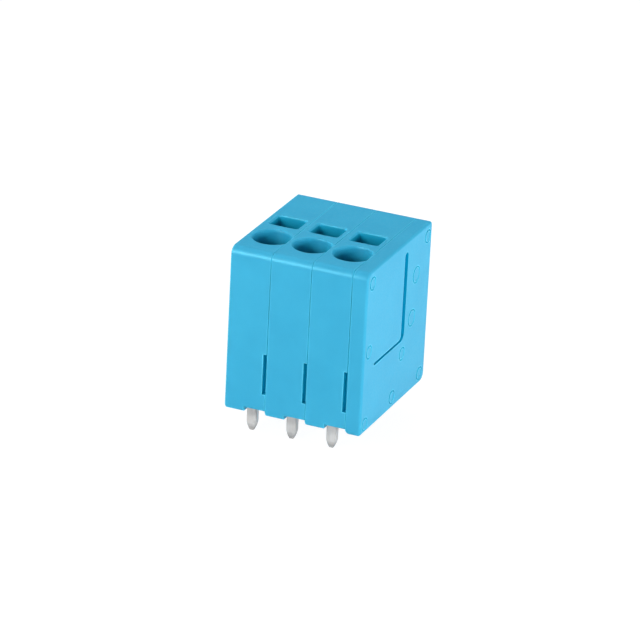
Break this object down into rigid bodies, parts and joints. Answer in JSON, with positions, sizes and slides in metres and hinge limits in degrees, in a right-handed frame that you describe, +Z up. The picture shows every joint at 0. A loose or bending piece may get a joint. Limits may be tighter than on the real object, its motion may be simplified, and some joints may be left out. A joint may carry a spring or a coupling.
{
  "type": "terminal block",
  "caption": "Modular spring-clamp terminal block for a printed board, with round wire entries and tool slots on top, an end plate and solder pins below.",
  "frame": {"origin": "on the board's surface, at the centre of the middle pole's solder pin", "axes": "+X along the row towards the end plate, +Y from the front face to the back, +Z up from the board, against the way the wires are pushed in"},
  "size_m": [0.0169, 0.0189, 0.0231],
  "materials": {
    "blue_polyamide": "satin moulded polyamide, light blue",
    "tinned_copper": "dull matt tin on copper",
    "spring_steel": "bright rolled stainless spring strip"
  },
  "bodies": {
    "root": {"pole_housing_1": "blue_polyamide", "pole_housing_2": "blue_polyamide", "pole_housing_3": "blue_polyamide", "end_plate": "blue_polyamide", "contact_bar_1": "tinned_copper", "contact_bar_2": "tinned_copper", "contact_bar_3": "tinned_copper", "clamp_spring_1": "spring_steel", "clamp_spring_2": "spring_steel", "clamp_spring_3": "spring_steel"}
  },
  "joints": []
}
